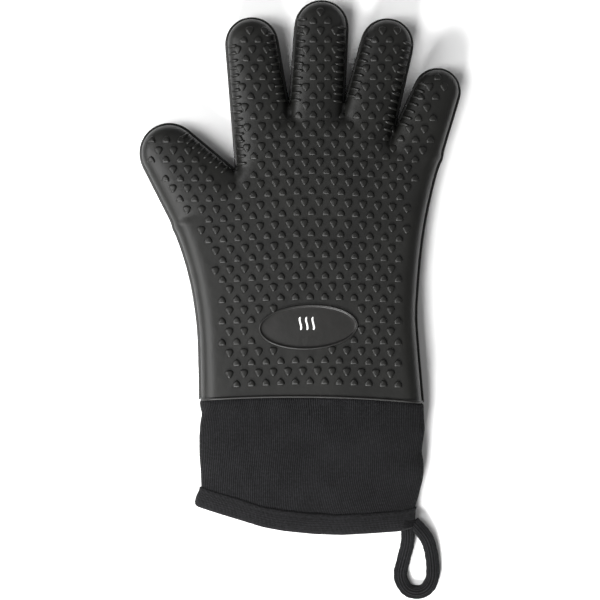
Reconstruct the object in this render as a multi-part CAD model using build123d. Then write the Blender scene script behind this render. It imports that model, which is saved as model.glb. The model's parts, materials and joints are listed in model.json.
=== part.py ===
from build123d import *
import math
import os

# A heat resistant glove, lying palm up with its fingers along +Y and its thumb towards -X.
# Millimetres. Z = 0 is the table, and the origin lies under the middle of the glove.

# Moulded hand: a silicone skin over a sewn liner
HAND_THICK = 26.0
WALL = 2.0
LINER_GAP = 0.3
LINER_THICK = 1.5
SIDE_ROUND = 12.0
HINGE_SLIT = 0.5
ZONE_MARGIN = 0.6
WRIST_Y = -87.5
WRIST_LEFT = -66.8
WRIST_RIGHT = 82.1

# Each finger: middle of its round tip and its radius, middle of its root and its half width,
# and how far the bend at the root lies behind the middle of the tip
FINGERS = {
    "thumb": dict(tip=(-86.8, 76.6), tip_r=19.7, root=(-59.2, 42.0), root_r=28.6, knuckle=26.3),
    "index": dict(tip=(-32.0, 149.2), tip_r=17.4, root=(-22.6, 69.0), root_r=22.1, knuckle=34.4),
    "middle": dict(tip=(14.3, 160.3), tip_r=17.7, root=(9.3, 80.0), root_r=18.6, knuckle=43.4),
    "ring": dict(tip=(57.9, 148.6), tip_r=17.3, root=(40.5, 79.0), root_r=18.9, knuckle=35.7),
    "little": dict(tip=(91.2, 117.5), tip_r=15.4, root=(70.8, 64.0), root_r=19.5, knuckle=27.3),
}

# Palm: its two curved sides from the wrist upwards, and the line across the finger roots
PALM_LEFT = [(-67.2, -62.9), (-68.1, -40.3), (-70.5, -21.0), (-77.1, 7.6), (-86.1, 33.2)]
PALM_RIGHT = [(80.7, -74.5), (77.6, -31.5), (80.1, 5.8), (86.5, 45.8), (94.0, 73.5)]
PALM_TOP = [(-64.0, 49.0), (-45.0, 64.0), (-27.0, 104.0), (-7.3, 105.0), (11.0, 108.0), (29.2, 105.5),
            (46.0, 105.0), (61.5, 87.0), (76.0, 82.0)]

# Oval badge on the face
BADGE_AT = (5.6, -38.8)
BADGE_LONG = 65.5
BADGE_WIDE = 29.8
BADGE_TILT = 2.5
BADGE_FIELD = 0.6
BADGE_RIM_HIGH = 1.2
BADGE_RIM_WIDE = 1.6

# Printed mark in the badge: three heat waves
MARK_WAVE = [(0.0, -4.0), (0.9, -2.0), (-0.9, 2.0), (0.0, 4.0)]
MARK_PITCH = 4.2
MARK_COUNT = 3
MARK_LINE = 1.1
MARK_THICK = 0.15

# Cloth cuff: a flat tube that thins towards its curved hem
CUFF_GAP = 0.4
CUFF_LEFT = -67.0
CUFF_WRIST_RIGHT = 82.6
CUFF_HEM_RIGHT = 76.5
CUFF_WRIST_LOW = 2.3
CUFF_HEM_LOW = 0.8
CUFF_WRIST_HIGH = HAND_THICK - CUFF_WRIST_LOW
CUFF_HEM_THICK = 10.0
CUFF_END_Y = -184.0
CUFF_ROUND_SHARE = 0.45
CLOTH_THICK = 1.0
CLOTH_GAP = 0.15
LINING_THICK = 0.6
COLLAR_DEEP = 20.0
SEAM_THREAD_R = 0.3

# Hem: the curve of its lower edge, and the tape folded round it
HEM = [(-80.0, -154.8), (-68.5, -159.3), (-33.9, -170.0), (0.0, -176.6), (23.3, -177.9), (45.9, -177.0),
       (67.2, -175.5), (76.5, -172.6), (90.0, -166.0)]
TAPE_WIDE = 13.0
TAPE_THICK = 0.8
TAPE_FOLD = 1.2
STITCH_LONG = 2.6
STITCH_THICK = 0.5
STITCH_PITCH = 4.0
STITCH_INSET = 1.6

# Hanging loop: folded tape, from the hem's corner round and back to it
LOOP_WIDE = 9.0
LOOP_ROUTE = [(72.4, -176.1), (72.3, -184.5), (69.0, -196.5), (67.2, -208.4), (73.0, -215.6), (81.8, -215.7),
              (88.0, -209.4), (88.6, -198.0), (86.6, -187.0), (82.4, -177.0)]
LOOP_RADIUS_SHARE = 0.45
BARTACK_LONG = 12.0
BARTACK_WIDE = 1.8

MID_Z = HAND_THICK / 2
CUFF_TOP_Y = WRIST_Y - CUFF_GAP
REACH = 400.0


def palm_block(inset, overrun):
    """The palm without its fingers, its skin moved inwards by inset and its wrist end run on."""
    low = WRIST_Y - overrun
    left = [(WRIST_LEFT + inset, low)] + [(x + inset, y) for x, y in PALM_LEFT]
    right = [(WRIST_RIGHT - inset, low)] + [(x - inset, y) for x, y in PALM_RIGHT]
    outline = [
        Spline(*left),
        Polyline(left[-1], *PALM_TOP, right[-1]),
        Spline(*right),
        Line(left[0], right[0]),
    ]
    block = extrude(Pos(0, 0, inset) * make_face(outline), HAND_THICK - 2 * inset)
    sides = block.edges().filter_by(GeomType.BSPLINE)
    return fillet(sides, SIDE_ROUND - inset)


def finger_frame(finger):
    """Length from root to tip middle, and the frame at the root with X along the finger."""
    reach = Vector(*finger["tip"]) - Vector(*finger["root"])
    heading = math.degrees(math.atan2(reach.Y, reach.X))
    return reach.length, Pos(*finger["root"], MID_Z) * Rot(0, 0, heading)


def finger_block(finger, inset):
    """A tapered round finger with a domed tip, flattened to the thickness of the hand."""
    length, place = finger_frame(finger)
    taper = math.asin((finger["root_r"] - finger["tip_r"]) / length)
    dome = finger["tip_r"] - inset
    touch = (length + dome * math.sin(taper), dome * math.cos(taper))
    start = (0, touch[1] + touch[0] * math.tan(taper))
    half = make_face([
        Polyline((length + dome, 0), (0, 0), start, touch),
        CenterArc((length, 0), dome, 0, 90 - math.degrees(taper)),
    ])
    slab = Box(REACH, REACH, HAND_THICK - 2 * inset)
    return place * (revolve(half, Axis.X) & slab)


def hand_block(inset, overrun=0.0):
    hand = palm_block(inset, overrun)
    for finger in FINGERS.values():
        hand += finger_block(finger, inset)
    return hand


def middle_bend(finger):
    """How far the bend in the middle of a finger lies behind the middle of its tip."""
    return (finger["knuckle"] - finger["tip_r"]) / 2


def finger_zone(finger, near, far):
    """The space round one finger, from near to far behind the middle of its tip."""
    length, place = finger_frame(finger)
    slope = (finger["root_r"] - finger["tip_r"]) / length
    half = finger["tip_r"] + slope * near + ZONE_MARGIN
    middle = length - (near + far) / 2
    return place * Pos(middle, 0, 0) * Box(near - far, 2 * half, HAND_THICK + 2)


def split_hand(layer):
    """The layer cut at every bend: the palm, and a base and a tip for each finger."""
    pieces = {}
    palm = layer
    for name, finger in FINGERS.items():
        bend = middle_bend(finger)
        slit = HINGE_SLIT / 2
        end = -2 * finger["tip_r"]
        pieces[name + "_base"] = layer & finger_zone(finger, finger["knuckle"] - slit, bend + slit)
        pieces[name + "_tip"] = layer & finger_zone(finger, bend - slit, end)
        palm -= finger_zone(finger, finger["knuckle"] + slit, end)
    pieces["palm"] = palm
    return pieces


def band_along(low_y, high_y):
    """All space between two lines across the glove."""
    return Pos(0, (low_y + high_y) / 2, MID_Z) * Box(REACH, high_y - low_y, REACH)


def cuff_block(inset):
    """The flat cuff tube, run on past the hem, with its skin moved inwards by inset."""
    def section(y, right, low, high):
        wide = right - CUFF_LEFT - 2 * inset
        tall = high - low - 2 * inset
        centre = ((right + CUFF_LEFT) / 2, y, (low + high) / 2)
        frame = Plane(origin=centre, x_dir=(1, 0, 0), z_dir=(0, -1, 0))
        return frame * RectangleRounded(wide, tall, CUFF_ROUND_SHARE * tall)

    wrist = section(CUFF_TOP_Y, CUFF_WRIST_RIGHT, CUFF_WRIST_LOW, CUFF_WRIST_HIGH)
    hem = section(CUFF_END_Y, CUFF_HEM_RIGHT, CUFF_HEM_LOW, CUFF_HEM_LOW + CUFF_HEM_THICK)
    return loft([wrist, hem])


def above_hem(lift):
    """All space towards the fingers from the hem's curve, moved up by lift."""
    points = [(x, y + lift) for x, y in HEM]
    (left, left_y), (right, right_y) = points[0], points[-1]
    sides = Polyline((right, right_y), (REACH, right_y), (REACH, REACH), (-REACH, REACH),
                     (-REACH, left_y), (left, left_y))
    return extrude(make_face([Spline(*points), sides]), HAND_THICK * 2, both=True)


def cuff_top(y):
    """Height of the cuff's upper face at y."""
    share = (CUFF_TOP_Y - y) / (CUFF_TOP_Y - CUFF_END_Y)
    return CUFF_WRIST_HIGH + share * (CUFF_HEM_LOW + CUFF_HEM_THICK - CUFF_WRIST_HIGH)


def cuff_bottom(y):
    """Height of the cuff's lower face at y."""
    share = (CUFF_TOP_Y - y) / (CUFF_TOP_Y - CUFF_END_Y)
    return CUFF_WRIST_LOW + share * (CUFF_HEM_LOW - CUFF_WRIST_LOW)


def save(shape, node):
    export_step(shape, "parts/" + node + ".step")


os.makedirs("parts", exist_ok=True)

# Silicone skin, cut where it bends
skin = hand_block(0.0) - hand_block(WALL, overrun=1.0)
for name, piece in split_hand(skin).items():
    save(piece, name + "_shell")

# Cotton liner inside it, ending above the cuff's tucked margin
liner_at = WALL + LINER_GAP
collar_top = WRIST_Y + COLLAR_DEEP
liner = hand_block(liner_at) - hand_block(liner_at + LINER_THICK, overrun=1.0)
liner &= band_along(collar_top + CLOTH_GAP, REACH)
for name, piece in split_hand(liner).items():
    save(piece, name + "_liner")

# The cuff's margin, bonded inside the wrist
collar = hand_block(WALL + CLOTH_GAP) - hand_block(WALL + CLOTH_GAP + CLOTH_THICK, overrun=1.0)
save(collar & band_along(WRIST_Y, collar_top), "cuff_collar")

# Oval badge: a flat field inside a raised rim
oval = Ellipse(BADGE_LONG / 2, BADGE_WIDE / 2)
field_oval = Ellipse(BADGE_LONG / 2 - BADGE_RIM_WIDE, BADGE_WIDE / 2 - BADGE_RIM_WIDE)
badge = extrude(oval, BADGE_RIM_HIGH) - Pos(0, 0, BADGE_FIELD) * extrude(field_oval, BADGE_RIM_HIGH)
save(Pos(*BADGE_AT, HAND_THICK) * Rot(0, 0, BADGE_TILT) * badge, "emblem_badge")

# White mark printed on the badge's field
wave = extrude(trace(Spline(*MARK_WAVE), MARK_LINE), MARK_THICK)
place = Pos(*BADGE_AT, HAND_THICK + BADGE_FIELD) * Rot(0, 0, BADGE_TILT)
steps = [(number - (MARK_COUNT - 1) / 2) * MARK_PITCH for number in range(MARK_COUNT)]
save(Compound(children=[place * Pos(step, 0, 0) * wave for step in steps]), "printed_mark")

# Cuff panels, split along the side seams
cloth = (cuff_block(0.0) - cuff_block(CLOTH_THICK)) & above_hem(TAPE_FOLD)
wrist_mid = (CUFF_WRIST_LOW + CUFF_WRIST_HIGH) / 2
hem_mid = CUFF_HEM_LOW + CUFF_HEM_THICK / 2
seam_ends = [(CUFF_TOP_Y, wrist_mid), (CUFF_END_Y, hem_mid)]
upper_side = Polyline(*seam_ends, (CUFF_END_Y, REACH), (CUFF_TOP_Y, REACH), close=True)
upper_half = extrude(Plane.YZ * make_face(upper_side), REACH / 2, both=True)
save(cloth & upper_half, "cuff_front_panel")
save(cloth - upper_half, "cuff_back_panel")

# Lining, a cloth's gap inside the panels
lining_at = CLOTH_THICK + CLOTH_GAP
lining = cuff_block(lining_at) - cuff_block(lining_at + LINING_THICK)
save(lining & above_hem(TAPE_FOLD), "cuff_lining")

# Threads of the two side seams, in the wall where the panels meet
threads = []
for wrist_x, hem_x, inwards in ((CUFF_LEFT, CUFF_LEFT, 1), (CUFF_WRIST_RIGHT, CUFF_HEM_RIGHT, -1)):
    into = inwards * CLOTH_THICK / 2
    start = Vector(wrist_x + into, CUFF_TOP_Y, wrist_mid)
    end = Vector(hem_x + into, CUFF_END_Y, hem_mid)
    run = Plane(origin=start, z_dir=end - start)
    threads.append(extrude(run * Circle(SEAM_THREAD_R), (end - start).length) & above_hem(TAPE_FOLD))
save(Compound(children=[solid for thread in threads for solid in thread.solids()]), "side_seam_threads")

# Tape folded round the hem, with a channel for the cloth
stack = lining_at + LINING_THICK
band = cuff_block(-TAPE_THICK) - cuff_block(stack + TAPE_THICK)
channel = cuff_block(-CLOTH_GAP) - cuff_block(stack + CLOTH_GAP)
tape = (band & above_hem(0) - above_hem(TAPE_WIDE)) - (channel & above_hem(TAPE_FOLD - CLOTH_GAP))
save(tape, "hem_binding")

# Stitches along the tape's upper edge, on both faces
seam_line = Spline(*[(x, y + TAPE_WIDE - STITCH_INSET) for x, y in HEM])
stitch = Box(STITCH_LONG, STITCH_THICK, STITCH_THICK)
stitches = []
count = int(seam_line.length / STITCH_PITCH)
for number in range(count):
    share = (number + 0.5) / count
    point = seam_line @ share
    if CUFF_LEFT + CUFF_HEM_THICK < point.X < CUFF_HEM_RIGHT - CUFF_HEM_THICK / 2:
        ahead = seam_line % share
        turn = Rot(0, 0, math.degrees(math.atan2(ahead.Y, ahead.X)))
        for height in (cuff_top(point.Y) + TAPE_THICK, cuff_bottom(point.Y) - TAPE_THICK):
            stitches.append(Pos(point.X, point.Y, height) * turn * stitch)
save(Compound(children=stitches), "hem_stitching")

# Bar of thread over the loop's ends
bar_at = Vector(CUFF_HEM_RIGHT - BARTACK_LONG / 2 - 3, HEM[-3][1] + 3.5)
bar = Box(BARTACK_LONG, BARTACK_WIDE, STITCH_THICK)
bar_height = cuff_top(bar_at.Y) + TAPE_THICK
save(Pos(bar_at.X, bar_at.Y, bar_height) * bar, "loop_bartack")

# Hanging loop: a tube of the tape's width along its route
loop_z = LOOP_WIDE / 2
corners = [Vector(x, y, loop_z) for x, y in LOOP_ROUTE]
radii = []
for before, corner, after in zip(corners, corners[1:], corners[2:]):
    turn_angle = (corner - before).get_angle(after - corner)
    shorter = min((corner - before).length, (after - corner).length)
    radii.append(LOOP_RADIUS_SHARE * shorter / math.tan(math.radians(turn_angle / 2)))
print("loop radii", [round(radius, 1) for radius in radii])
route = FilletPolyline(*corners, radius=radii)
mouth = Plane(origin=corners[0], z_dir=corners[1] - corners[0])
loop = sweep(mouth * Circle(LOOP_WIDE / 2), path=route)
section_area = math.pi * LOOP_WIDE ** 2 / 4
share = loop.volume / section_area / route.length
print("loop length", round(route.length, 1), "volume over section times length", round(share, 4))
save(loop, "hanging_loop")
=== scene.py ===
import bisect
import json
import math

import bmesh
import bpy
from mathutils import Matrix, Vector, noise
from mathutils.bvhtree import BVHTree


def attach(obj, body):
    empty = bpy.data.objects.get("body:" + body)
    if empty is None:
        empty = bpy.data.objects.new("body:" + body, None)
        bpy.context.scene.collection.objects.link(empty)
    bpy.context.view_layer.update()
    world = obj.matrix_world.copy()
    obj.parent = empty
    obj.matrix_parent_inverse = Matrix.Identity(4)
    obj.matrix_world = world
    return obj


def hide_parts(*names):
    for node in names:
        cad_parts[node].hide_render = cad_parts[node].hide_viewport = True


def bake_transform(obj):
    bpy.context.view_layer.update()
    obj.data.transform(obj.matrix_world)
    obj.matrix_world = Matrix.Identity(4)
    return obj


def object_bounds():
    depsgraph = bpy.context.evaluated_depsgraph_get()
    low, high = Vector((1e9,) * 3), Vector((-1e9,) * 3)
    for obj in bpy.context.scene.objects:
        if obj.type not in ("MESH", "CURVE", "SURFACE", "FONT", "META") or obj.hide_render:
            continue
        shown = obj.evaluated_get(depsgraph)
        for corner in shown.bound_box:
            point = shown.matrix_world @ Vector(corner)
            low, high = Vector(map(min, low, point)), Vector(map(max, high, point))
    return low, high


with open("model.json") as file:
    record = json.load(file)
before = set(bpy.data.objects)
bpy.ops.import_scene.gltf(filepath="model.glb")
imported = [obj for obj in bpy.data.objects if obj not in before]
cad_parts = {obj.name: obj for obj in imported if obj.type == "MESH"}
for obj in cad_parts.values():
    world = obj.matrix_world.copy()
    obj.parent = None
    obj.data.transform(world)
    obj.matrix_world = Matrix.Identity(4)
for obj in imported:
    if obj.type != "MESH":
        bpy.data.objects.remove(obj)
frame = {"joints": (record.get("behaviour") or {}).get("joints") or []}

cad_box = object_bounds()
MM = 0.001

# ----------------------------------------
# Camera, straight above the glove as it lies on the table.  A long lens keeps the sides upright,
# and the view just holds the glove from the middle fingertip to the bottom of its hanging loop.
LENS = 100.0
SENSOR = 36.0
VIEW_WIDE = 399 * MM
MID_Z = 13 * MM

low, high = (Vector(corner) for corner in cad_box)
centre = (low + high) / 2
camera = bpy.data.objects.new("camera", bpy.data.cameras.new("camera"))
camera.data.lens = LENS
camera.data.sensor_width = SENSOR
camera.data.clip_start = 0.05
camera.location = (centre.x, centre.y, MID_Z + VIEW_WIDE * LENS / SENSOR)
bpy.context.scene.collection.objects.link(camera)
bpy.context.scene.camera = camera


# ----------------------------------------
# Hanging loop: cotton bias tape folded in four and stitched along its open edge, about 9 mm wide.
# Both ends are sewn into the hem's corner.  It is limp, and lies in a slack eye on the table.
LOOP_WIDE = 9.2 * MM
LOOP_THICK = 4.6 * MM
LOOP_ROUTE = [(71.6, -171.5, 5.4), (72.4, -177.5, 4.8), (72.2, -185.0, 3.2), (69.3, -196.0, 2.5),
              (66.6, -206.5, 2.4), (71.8, -217.0, 2.4), (83.0, -217.5, 2.4), (89.3, -209.5, 2.5),
              (89.2, -197.0, 2.6), (87.0, -184.5, 3.4), (82.5, -176.5, 4.6), (76.0, -170.0, 5.4)]
LOOP_CREASE = 0.35 * MM
LOOP_CREASE_SPAN = 3.2 * MM
TAPE_SEGMENTS = 24
TAPE_SHAPE = 3.0
TAPE_ROUND = 2 * (LOOP_WIDE + LOOP_THICK) * 0.8


def linear(hex_colour):
    """A linear colour from an sRGB hex value."""
    parts = [int(hex_colour[at:at + 2], 16) / 255 for at in (1, 3, 5)]
    return [*(c / 12.92 if c <= 0.04045 else ((c + 0.055) / 1.055) ** 2.4 for c in parts), 1.0]


def link(name, mesh):
    """A new object in the scene for a mesh or curve."""
    piece = bpy.data.objects.new(name, mesh)
    bpy.context.scene.collection.objects.link(piece)
    return piece


def evaluated(piece):
    """The mesh that an object shows, with its modifiers or bevel."""
    bpy.context.view_layer.update()
    return bpy.data.meshes.new_from_object(piece.evaluated_get(bpy.context.evaluated_depsgraph_get()))


def mesh_of(name, bm):
    """A new mesh from a bmesh, which is used up."""
    mesh = bpy.data.meshes.new(name)
    bm.to_mesh(mesh)
    bm.free()
    return mesh


def from_bmesh(name, bm, outward=True):
    """A new smooth object from a bmesh, which is used up, with its faces turned outwards."""
    if outward:
        bmesh.ops.recalc_face_normals(bm, faces=bm.faces)
    mesh = mesh_of(name, bm)
    mesh.shade_smooth()
    return link(name, mesh)


def add(material, kind, settings=(), links=()):
    """Adds a node of one kind with its settings, and links its inputs to other nodes' outputs."""
    node = material.node_tree.nodes.new("ShaderNode" + kind)
    for name, value in dict(settings).items():
        if name in node.inputs.keys() or isinstance(name, int):
            node.inputs[name].default_value = value
        else:
            setattr(node, name, value)
    for socket, source in dict(links).items():
        material.node_tree.links.new(source, node.inputs[socket])
    return node


def new_material(name):
    """An empty material with its output node."""
    material = bpy.data.materials.new(name)
    material.use_nodes = True
    material.node_tree.nodes.clear()
    return material


def finish_material(material, shader):
    """Puts the shader on the material's output, and returns the material."""
    output = add(material, "OutputMaterial")
    material.node_tree.links.new(shader.outputs[0], output.inputs["Surface"])
    return material


def plain(name, colour, roughness, specular=0.5):
    """A material of one even colour."""
    material = new_material(name)
    return finish_material(material, add(material, "BsdfPrincipled", {
        "Base Color": linear(colour), "Roughness": roughness, "Specular IOR Level": specular}))


def woven(name, dark, light, along, across, depth, roughness):
    """Dyed cloth in a plain or ribbed weave: two crossed sets of threads on the piece's UV map, which is
    in metres, with fuzz and faint uneven mottling over them.  Its colour holds painted shade: lighter on the
    raised threads and fuzz, darker in the hollows between them.  along, across and depth are in millimetres."""
    material = new_material(name)
    solid = add(material, "TexCoord").outputs["Object"]
    uv = add(material, "UVMap", {"uv_map": "cloth"}).outputs["UV"]
    parts = add(material, "SeparateXYZ", links={"Vector": uv})
    waves = []
    for axis, pitch in (("X", along), ("Y", across)):
        turn = add(material, "Math", {"operation": "MULTIPLY", 1: 2 * math.pi / (pitch * MM)},
                   {0: parts.outputs[axis]})
        waves.append(add(material, "Math", {"operation": "SINE"}, {0: turn.outputs[0]}).outputs[0])
    crossed = add(material, "Math", {"operation": "MULTIPLY_ADD", 1: 0.35, 2: 0.0}, {0: waves[1]})
    weave = add(material, "Math", {"operation": "ADD"}, {0: waves[0], 1: crossed.outputs[0]})
    fuzz = add(material, "TexNoise", {"Scale": 620.0, "Detail": 5.0, "Roughness": 0.8}, {"Vector": solid})
    patch = add(material, "TexNoise", {"Scale": 45.0, "Detail": 3.0}, {"Vector": solid})
    height = add(material, "Math", {"operation": "MULTIPLY_ADD", 1: 4.0},
                 {0: fuzz.outputs[0], 2: weave.outputs[0]})
    # Painted shade: the colour runs from dark where the weave and fuzz lie low, between the threads, to light on
    # their crowns.
    shade = add(material, "MapRange", {"From Min": 1.3, "From Max": 3.5}, {"Value": height.outputs[0]})
    mottle = add(material, "Math", {"operation": "MULTIPLY_ADD", 1: 0.5, 2: -0.25}, {0: patch.outputs[0]})
    mixed = add(material, "Math", {"operation": "ADD", "use_clamp": True},
                {0: shade.outputs[0], 1: mottle.outputs[0]})
    colour = add(material, "ValToRGB", links={"Fac": mixed.outputs[0]})
    colour.color_ramp.elements[0].color = linear(dark)
    colour.color_ramp.elements[1].color = linear(light)
    bump = add(material, "Bump", {"Strength": 0.7, "Distance": depth * MM}, {"Height": height.outputs[0]})
    shader = add(material, "BsdfPrincipled", {"Roughness": roughness, "IOR": 1.46, "Sheen Weight": 0.04,
                                              "Sheen Roughness": 0.5, "Specular IOR Level": 0.12},
                 {"Base Color": colour.outputs["Color"], "Normal": bump.outputs["Normal"]})
    return finish_material(material, shader)


route = bpy.data.curves.new("loop_route", "CURVE")
route.dimensions = "3D"
spline = route.splines.new("NURBS")
spline.points.add(len(LOOP_ROUTE) - 1)
for point, place in zip(spline.points, LOOP_ROUTE):
    point.co = (*(value * MM for value in place), 1.0)
spline.order_u = 3
spline.use_endpoint_u = True
spline.resolution_u = 14
route_piece = link("loop_route", route)
loop_path = [vertex.co.copy() for vertex in evaluated(route_piece).vertices]


def frame_at(place, x, y, z):
    """The frame at a place with the given axes."""
    return Matrix.Translation(place) @ Matrix((x, y, z)).transposed().to_4x4()


def frame_along(points, number):
    """The frame of a flat cord at one of its points: its width lies level, and Z runs along it."""
    ahead = points[min(number + 1, len(points) - 1)] - points[max(number - 1, 0)]
    ahead.normalize()
    side = ahead.cross(Vector((0, 0, 1))).normalized()
    return frame_at(points[number], side, side.cross(ahead) * -1, ahead)


def ring_of(bm, count, radius=1.0, **more):
    """A new ring of so many vertices."""
    return bmesh.ops.create_circle(bm, segments=count, radius=radius, **more)["verts"]


def join_rings(bm, rings):
    """Skins a list of vertex rings into a tube, in order, and returns its faces."""
    faces = []
    for ring, following in zip(rings, rings[1:]):
        edges = [edge for group in (ring, following) for vertex in group for edge in vertex.link_edges
                 if edge.other_vert(vertex) in group]
        faces += bmesh.ops.bridge_loops(bm, edges=list(set(edges)))["faces"]
    return faces


def lay_cloth(faces, rings, layer, place):
    """Cloth coordinates of the faces between rings, from place(ring number, step, vertex).  Both counts
    run on where the rings or the row of rings closes, so that no face spans the whole cloth."""
    where = {vertex: (number, step) for number, ring in enumerate(rings) for step, vertex in enumerate(ring)}
    totals = len(rings), len(rings[0])
    for face in faces:
        spots = [where[corner.vert] for corner in face.loops]
        closes = [max(line) - min(line) > 1 for line in zip(*spots)]
        for corner, spot in zip(face.loops, spots):
            number, step = (at + total * (close and at == 0) for at, total, close in zip(spot, totals, closes))
            corner[layer].uv = place(number, step, corner.vert)


bm = bmesh.new()
cloth_uv = bm.loops.layers.uv.new("cloth")
rings, run, runs = [], 0.0, []
for number, point in enumerate(loop_path):
    run += (point - loop_path[number - 1]).length if number else 0.0
    place = frame_along(loop_path, number)
    ring = ring_of(bm, TAPE_SEGMENTS)
    for step, vertex in enumerate(ring):
        angle = 2 * math.pi * step / TAPE_SEGMENTS
        across, up = math.sin(angle), math.cos(angle)
        across = math.copysign(abs(across) ** (2 / TAPE_SHAPE), across)
        up = math.copysign(abs(up) ** (2 / TAPE_SHAPE), up)
        seam = 1 - 0.22 * math.exp(-((across - 0.62) / 0.1) ** 2)
        vertex.co = place @ Vector((across * LOOP_WIDE / 2, up * seam * LOOP_THICK / 2, 0))
    rings.append(ring)
    runs.append(run)
lay_cloth(join_rings(bm, rings), rings, cloth_uv,
          lambda number, step, vertex: (step / TAPE_SEGMENTS * TAPE_ROUND, runs[number]))
for ring in (rings[0], rings[-1]):
    bmesh.ops.contextual_create(bm, geom=ring)
bm.normal_update()
for vertex in bm.verts:
    ripple = noise.noise(vertex.co / LOOP_CREASE_SPAN)
    vertex.co += vertex.normal * ripple * LOOP_CREASE
bpy.data.objects.remove(route_piece)
hanging_tape = from_bmesh("hanging_tape", bm)
bias_tape = woven("cotton_bias_tape", "#040404", "#272729", 0.9, 0.9, 0.2, 0.85)
hanging_tape.data.materials.append(bias_tape)
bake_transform(hanging_tape)
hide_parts("hanging_loop")


# ----------------------------------------
# Silicone hand: one skin about 2 mm thick, compression moulded in two halves.  Its faces are nearly
# flat, its sides fall to a thin rim where the halves of the mould met, and each finger ends in a dome.
HALF_THICK = 12.0 * MM
RIM_WIDE = 1.2 * MM
SKIN_THICK = 2.0 * MM
VOXEL = 1.3 * MM
FACE_FULLNESS = 3.0
WEB = 5.0 * MM
FINGER_FORMS = {
    "thumb": dict(tip=(-86.8, 76.6), tip_r=19.7, root=(-59.2, 42.0), root_r=28.6),
    "index": dict(tip=(-32.0, 149.2), tip_r=17.4, root=(-21.8, 69.0), root_r=21.0),
    "middle": dict(tip=(14.3, 160.3), tip_r=17.7, root=(9.3, 80.0), root_r=18.6),
    "ring": dict(tip=(57.9, 148.6), tip_r=17.3, root=(40.5, 79.0), root_r=18.9),
    "little": dict(tip=(91.2, 117.5), tip_r=15.4, root=(70.8, 64.0), root_r=19.5),
}
LEFT_SIDE = [(-67.2, -110.0), (-66.8, -87.5), (-67.2, -62.9), (-68.1, -40.3), (-70.5, -21.0), (-73.2, -6.8),
             (-77.1, 7.6), (-82.3, 22.4), (-85.0, 29.5)]
RIGHT_SIDE = [(94.8, 76.1), (92.2, 68.1), (86.5, 45.8), (82.7, 26.2), (80.1, 5.8), (78.5, -14.4),
              (77.7, -31.5), (78.9, -50.9), (80.9, -74.5), (82.1, -87.5), (83.0, -110.0)]
FINGER_ROOTS = [(-77.0, 44.0), (-62.0, 51.0), (-45.0, 63.5), (-37.0, 80.0), (-27.0, 103.0), (-7.3, 105.5),
                (11.0, 108.0), (29.2, 106.0), (46.0, 105.0), (61.3, 86.5), (76.0, 86.0)]
PALM_ROUNDING = 11.7 * MM
WRIST_Y = -87.5
FACE_SLACK = 0.35 * MM
FACE_SLACK_SPAN = 34 * MM


def finger_axis(name):
    """A finger's root centre, the length from there to its tip's centre, and the unit vector along it."""
    root, tip = (Vector(FINGER_FORMS[name][end]).to_3d() * MM for end in ("root", "tip"))
    return root, (tip - root).length, (tip - root).normalized()


def radius_at(name, share):
    """A finger's radius at a share of its length, in millimetres."""
    form = FINGER_FORMS[name]
    return form["root_r"] + (form["tip_r"] - form["root_r"]) * share


def finger_hull(name, inset, half_thick, fullness):
    """A tapered finger with a domed end as a mesh: the hull of two flattened balls."""
    form = FINGER_FORMS[name]
    bm = bmesh.new()
    for end in ("tip", "root"):
        ball = form[end + "_r"] * MM - inset
        made = bmesh.ops.create_uvsphere(bm, u_segments=72, v_segments=28, radius=ball)["verts"]
        for vertex in made:
            tall = min(abs(vertex.co.z) / ball, 1.0)
            full = (1 - (1 - tall ** 2) ** (fullness / 2)) ** (1 / fullness)
            vertex.co.z = math.copysign(full * half_thick, vertex.co.z)
        bmesh.ops.translate(bm, verts=made, vec=Vector((*form[end], 0)) * MM + Vector((0, 0, MID_Z)))
    found = bmesh.ops.convex_hull(bm, input=bm.verts)
    spare = [item for item in set(found["geom_interior"] + found["geom_unused"])
             if isinstance(item, bmesh.types.BMVert)]
    bmesh.ops.delete(bm, geom=spare, context="VERTS")
    return from_bmesh(name + "_form", bm)


def palm_plate(inset, drop, half_thick, rounding):
    """The palm as a plate: its outline moved in by inset, its finger edge lowered by drop."""
    curve = bpy.data.curves.new("palm_form", "CURVE")
    curve.dimensions = "2D"
    curve.fill_mode = "BOTH"
    left = [(x * MM + inset, y * MM) for x, y in LEFT_SIDE]
    right = [(x * MM - inset, y * MM) for x, y in RIGHT_SIDE]
    top = [(x * MM, y * MM - drop) for x, y in FINGER_ROOTS]
    outline = left + top + right
    spline = curve.splines.new("BEZIER")
    spline.bezier_points.add(len(outline) - 1)
    for point, place in zip(spline.bezier_points, outline):
        point.co = (*place, 0)
        kind = "VECTOR" if place in top or place in (left[0], right[-1]) else "AUTO"
        point.handle_left_type = point.handle_right_type = kind
    spline.use_cyclic_u = True
    curve.resolution_u = 6
    curve.extrude = half_thick - rounding
    curve.bevel_depth = rounding
    curve.offset = -rounding
    curve.bevel_resolution = 5
    piece = link("palm_form", curve)
    bm = bmesh.new()
    bm.from_mesh(evaluated(piece))
    bpy.data.objects.remove(piece)
    bmesh.ops.remove_doubles(bm, verts=bm.verts, dist=1e-6)
    bmesh.ops.translate(bm, verts=bm.verts, vec=(0, 0, MID_Z))
    return from_bmesh("palm_form", bm)


def joined(pieces):
    """Several mesh objects as one bmesh. The objects are used up."""
    bm = bmesh.new()
    for piece in pieces:
        bm.from_mesh(piece.data)
        bpy.data.objects.remove(piece)
    return bm


def with_modifiers(piece, *modifiers):
    """The object's mesh after modifiers, each given as a kind and its settings."""
    for kind, settings in modifiers:
        modifier = piece.modifiers.new(kind.lower(), kind)
        for name, value in settings.items():
            setattr(modifier, name, value)
    mesh = evaluated(piece)
    piece.modifiers.clear()
    piece.data = mesh
    return piece


def solid(piece, thick):
    """Thickens an open surface inwards, and returns it."""
    return with_modifiers(piece, ("SOLIDIFY", dict(thickness=thick, offset=-1.0, use_rim=True)))


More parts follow.
